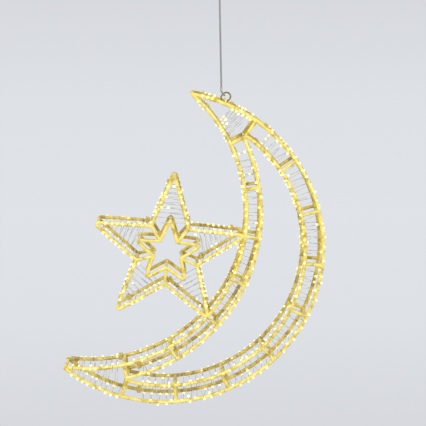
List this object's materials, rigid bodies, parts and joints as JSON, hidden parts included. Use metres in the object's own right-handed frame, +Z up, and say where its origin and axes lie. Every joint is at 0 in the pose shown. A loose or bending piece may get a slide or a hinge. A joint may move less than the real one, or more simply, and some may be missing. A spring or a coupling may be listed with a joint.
{
  "type": "hanging crescent and star ornament",
  "caption": "Hanging crescent moon and star of welded gold wire, wound with warm white lamps, on a steel wire with a ring and a swivel.",
  "frame": {"origin": "the underside of the swivel loop's crest, where a hook carries the ornament", "axes": "+X right and +Z up as seen from the front, +Y from the front face to the back face; Y = 0 is half way through the frame's depth"},
  "size_m": [0.4299, 0.071, 0.7102],
  "materials": {
    "gold_paint": "semi-gloss gold paint on steel wire",
    "string_wire": "thin pale insulated wire",
    "lamp_resin": "clear resin drop, lit",
    "clip_plastic": "clear moulded clip",
    "gland_plastic": "moulded sleeve",
    "ring_brass": "dull brass",
    "wire_steel": "drawn steel wire",
    "ferrule_aluminium": "crimped sleeve"
  },
  "bodies": {
    "hanger": {"swivel_loop": "wire_steel", "swivel_barrel": "ferrule_aluminium"},
    "line": {"wire_stop": "wire_steel", "hanging_wire": "wire_steel", "wire_ferrule": "ferrule_aluminium", "wire_eye": "wire_steel"},
    "ring": {"hanging_ring": "ring_brass"},
    "ornament": {"hanger_pin": "gold_paint", "crescent_front_rim_wire": "gold_paint", "crescent_back_rim_wire": "gold_paint", "crescent_front_bay_wire": "gold_paint", "crescent_back_bay_wire": "gold_paint", "crescent_front_gap_outline": "gold_paint", "crescent_back_gap_outline": "gold_paint", "star_front_outline": "gold_paint", "star_back_outline": "gold_paint", "star_front_inner_outline": "gold_paint", "star_back_inner_outline": "gold_paint", "crescent_front_rim_rungs": "gold_paint", "crescent_back_rim_rungs": "gold_paint", "crescent_front_bay_rungs": "gold_paint", "crescent_back_bay_rungs": "gold_paint", "crescent_front_end_rungs": "gold_paint", "crescent_back_end_rungs": "gold_paint", "crescent_rim_spacers": "gold_paint", "crescent_rim_gap_spacers": "gold_paint", "crescent_bay_gap_spacers": "gold_paint", "crescent_bay_spacers": "gold_paint", "crescent_end_spacers": "gold_paint", "crescent_gap_tip_spacers": "gold_paint", "crescent_tip_spacers": "gold_paint", "star_front_rungs": "gold_paint", "star_back_rungs": "gold_paint", "star_tip_spacers": "gold_paint", "star_valley_spacers": "gold_paint", "star_inner_tip_spacers": "gold_paint", "star_inner_valley_spacers": "gold_paint", "lamp_wire_outer_band": "string_wire", "lamp_wire_inner_band": "string_wire", "lamp_wire_top_horn": "string_wire", "lamp_wire_top_tip": "string_wire", "lamp_wire_low_horn": "string_wire", "lamp_wire_star_arm_1": "string_wire", "lamp_wire_star_arm_2": "string_wire", "lamp_wire_star_arm_3": "string_wire", "lamp_wire_star_arm_4": "string_wire", "lamp_wire_star_arm_5": "string_wire", "lamps_outer_band": "lamp_resin", "lamps_inner_band": "lamp_resin", "lamps_horns": "lamp_resin", "lamps_star": "lamp_resin", "crescent_string_clips": "clip_plastic", "star_string_clips": "clip_plastic", "lead_gland": "gland_plastic"}
  },
  "joints": [
    {"name": "wire_swivel", "type": "hinge", "parent": "hanger", "child": "line", "pos_m": [0.00055, 0, -0.02629], "axis": [-0.0209, 0, 0.9998], "range_deg": [-180, 180]},
    {"name": "ring_tilt", "type": "hinge", "parent": "line", "child": "ring", "pos_m": [0.00685, 0, -0.19513], "axis": [0.766, 0, 0.6428], "range_deg": [-35, 35]},
    {"name": "ornament_sway", "type": "hinge", "parent": "ring", "child": "ornament", "pos_m": [0.00992, 0, -0.20437], "axis": [0, 1, 0], "range_deg": [-30, 30]}
  ]
}
